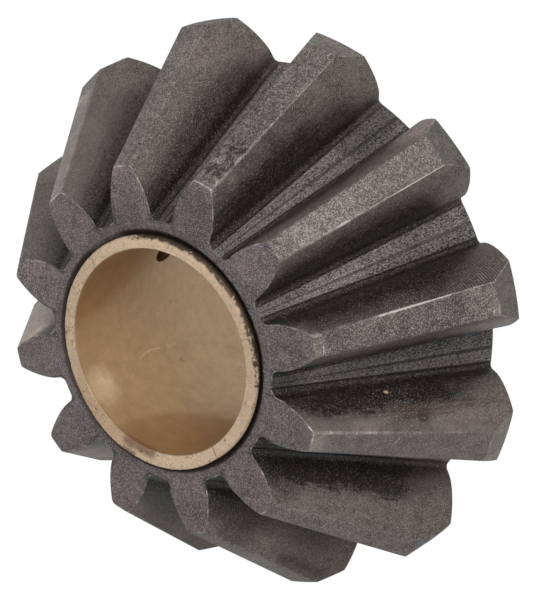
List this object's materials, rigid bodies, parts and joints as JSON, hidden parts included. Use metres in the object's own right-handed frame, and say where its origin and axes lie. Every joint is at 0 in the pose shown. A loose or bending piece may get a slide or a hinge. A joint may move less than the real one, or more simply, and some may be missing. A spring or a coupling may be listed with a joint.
{
  "type": "differential pinion gear",
  "caption": "Straight bevel differential pinion with a spherical thrust back, a turned heel band and a plain bronze bush pressed into its bore, and one oil hole.",
  "frame": {"origin": "centre of the flat ring on the back face that the pinion stands on", "axes": "+Z along the gear axis, from the back towards the toe; +X through the middle of a tooth space"},
  "size_m": [0.0892, 0.0892, 0.0407],
  "materials": {
    "steel": "dark phosphated and oiled, tooth edges worn bright",
    "bronze": "bored, dull"
  },
  "bodies": {
    "root": {"pinion_gear": "steel", "bushing": "bronze"}
  },
  "joints": []
}
